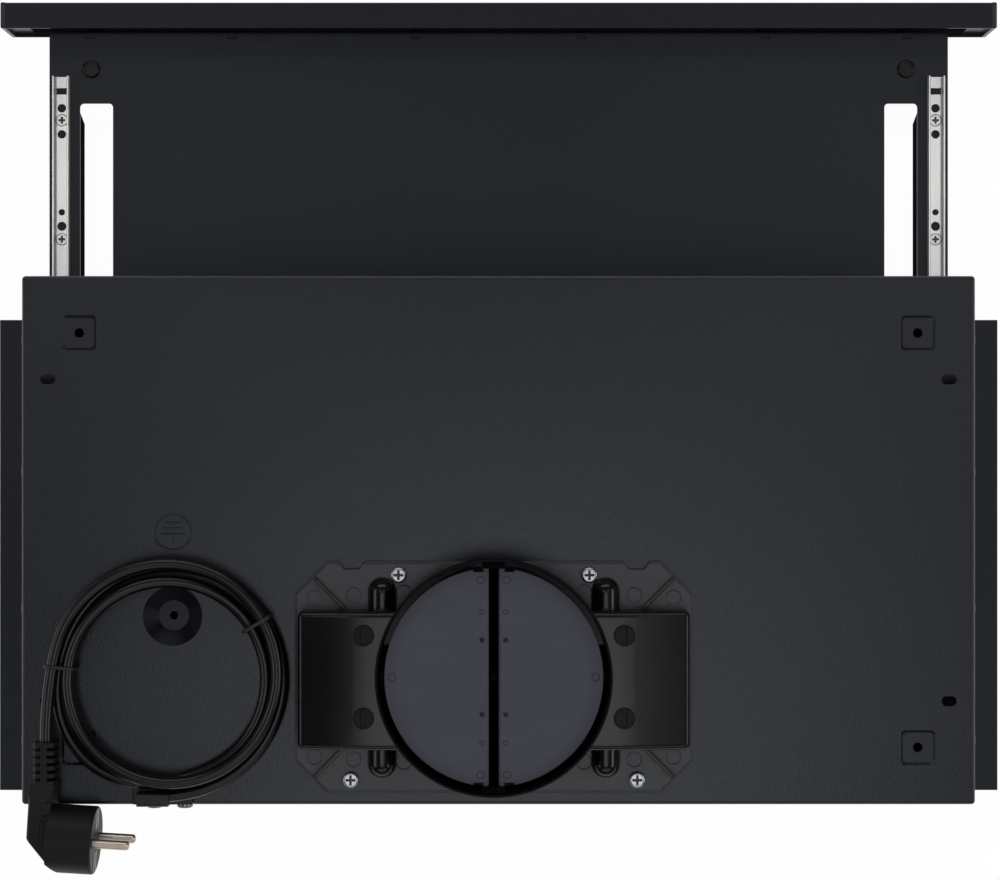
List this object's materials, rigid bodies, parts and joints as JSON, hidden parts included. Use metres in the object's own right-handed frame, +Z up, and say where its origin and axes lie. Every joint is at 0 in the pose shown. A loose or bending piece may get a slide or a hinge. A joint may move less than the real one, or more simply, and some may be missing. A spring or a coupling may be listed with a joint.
{
  "type": "slide-out range hood",
  "caption": "Built-in range hood with a slide-out drawer and front bar, twin blower, duct collar with non-return flaps, grease filters and a coiled mains cord",
  "frame": {"origin": "under the middle of the hood with its drawer open, at the level of the casing's lower edge", "axes": "+X to the right of a person who faces the front bar, +Y to the rear, +Z up"},
  "size_m": [0.598, 0.4892, 0.21],
  "materials": {
    "steel_dark": "fine powder coat",
    "rivet_steel": "painted",
    "plastic_black": "fine grain",
    "plastic_flap": "smooth",
    "plastic_knob": "smooth",
    "plastic_grey": "smooth",
    "terminal_white": "smooth",
    "capacitor_shell": "smooth",
    "screw_steel": "zinc plated",
    "slide_steel": "zinc plated",
    "screw_dark": "black zinc plated",
    "slide_screw_steel": "zinc plated",
    "motor_steel": "plain",
    "bush_bronze": "sintered",
    "filter_aluminium": "satin",
    "lamp_trim": "satin",
    "lamp_glass": "frosted",
    "cord_black": "satin sheath",
    "tie_black": "smooth",
    "plug_black": "fine grain",
    "contact_nickel": "nickel plated",
    "rubber_black": "matt"
  },
  "bodies": {
    "casing": {"blower_scroll_left": "plastic_grey", "blower_scroll_right": "plastic_grey", "cable_clamp": "steel_dark", "casing_rivets": "rivet_steel", "clamp_screws": "screw_dark", "control_bezel": "plastic_black", "cord_coil": "cord_black", "cord_tail": "cord_black", "cord_ties": "tie_black", "cross_rail": "steel_dark", "duct_collar": "plastic_black", "filter_clips": "slide_steel", "front_panel": "steel_dark", "lamp_housing_left": "lamp_trim", "lamp_housing_right": "lamp_trim", "lamp_lens_left": "lamp_glass", "lamp_lens_right": "lamp_glass", "light_switch": "plastic_black", "motor_bracket": "motor_steel", "motor_bushes": "bush_bronze", "motor_can": "motor_steel", "motor_stator": "motor_steel", "outlet_plate": "plastic_black", "outlet_plugs": "plastic_black", "outlet_screws": "screw_steel", "plug_body": "plug_black", "plug_contacts": "contact_nickel", "rear_panel": "steel_dark", "run_capacitor": "capacitor_shell", "side_panel_left": "steel_dark", "side_panel_right": "steel_dark", "slide_outer_left": "slide_steel", "slide_outer_right": "slide_steel", "speed_switch": "plastic_black", "terminal_block": "terminal_white", "terminal_box": "plastic_black", "top_panel": "steel_dark", "wing_left": "steel_dark", "wing_right": "steel_dark"},
    "drawer": {"drawer_panel": "steel_dark", "drawer_buffers": "rubber_black", "front_bar": "steel_dark", "bar_end_cap_left": "plastic_black", "bar_end_cap_right": "plastic_black", "slide_inner_left": "slide_steel", "slide_inner_right": "slide_steel", "slide_screws": "slide_screw_steel"},
    "cage_left": {"ball_cage_left": "slide_steel"},
    "cage_right": {"ball_cage_right": "slide_steel"},
    "flap_left_body": {"flap_left": "plastic_flap"},
    "flap_right_body": {"flap_right": "plastic_flap"},
    "rotor": {"rotor_shaft": "motor_steel", "impeller_left": "plastic_grey", "impeller_right": "plastic_grey"},
    "filter_left": {"filter_frame_left": "filter_aluminium", "filter_mesh_left": "filter_aluminium"},
    "filter_right": {"filter_frame_right": "filter_aluminium", "filter_mesh_right": "filter_aluminium"},
    "speed_slider": {"speed_knob": "plastic_knob"},
    "light_slider": {"light_knob": "plastic_knob"}
  },
  "joints": [
    {"name": "drawer_slide", "type": "slide", "parent": "casing", "child": "drawer", "axis": [0, 1, 0], "range_m": [0, 0.159]},
    {"name": "cage_left_slide", "type": "slide", "parent": "casing", "child": "cage_left", "axis": [0, 1, 0], "range_m": [0, 0.0795]},
    {"name": "cage_right_slide", "type": "slide", "parent": "casing", "child": "cage_right", "axis": [0, 1, 0], "range_m": [0, 0.0795]},
    {"name": "flap_left_swing", "type": "hinge", "parent": "casing", "child": "flap_left_body", "pos_m": [-0.0017, 0.14895, 0.2024], "axis": [0, 1, 0], "range_deg": [0, 80]},
    {"name": "flap_right_swing", "type": "hinge", "parent": "casing", "child": "flap_right_body", "pos_m": [0.0065, 0.14895, 0.2024], "axis": [0, -1, 0], "range_deg": [0, 80]},
    {"name": "rotor_spin", "type": "hinge", "parent": "casing", "child": "rotor", "pos_m": [0.0024, 0.11995, 0.1], "axis": [1, 0, 0], "continuous": true},
    {"name": "filter_left_swing", "type": "hinge", "parent": "casing", "child": "filter_left", "pos_m": [-0.12475, 0.20545, 0.0005], "axis": [1, 0, 0], "range_deg": [0, 60]},
    {"name": "filter_right_swing", "type": "hinge", "parent": "casing", "child": "filter_right", "pos_m": [0.12475, 0.20545, 0.0005], "axis": [1, 0, 0], "range_deg": [0, 60]},
    {"name": "speed_slide", "type": "slide", "parent": "casing", "child": "speed_slider", "axis": [1, 0, 0], "range_m": [0, 0.024]},
    {"name": "light_slide", "type": "slide", "parent": "casing", "child": "light_slider", "axis": [1, 0, 0], "range_m": [0, 0.009]}
  ],
  "couplings": [
    {"joint": "cage_left_slide", "follows": "drawer_slide", "ratio": 0.5},
    {"joint": "cage_right_slide", "follows": "drawer_slide", "ratio": 0.5}
  ]
}
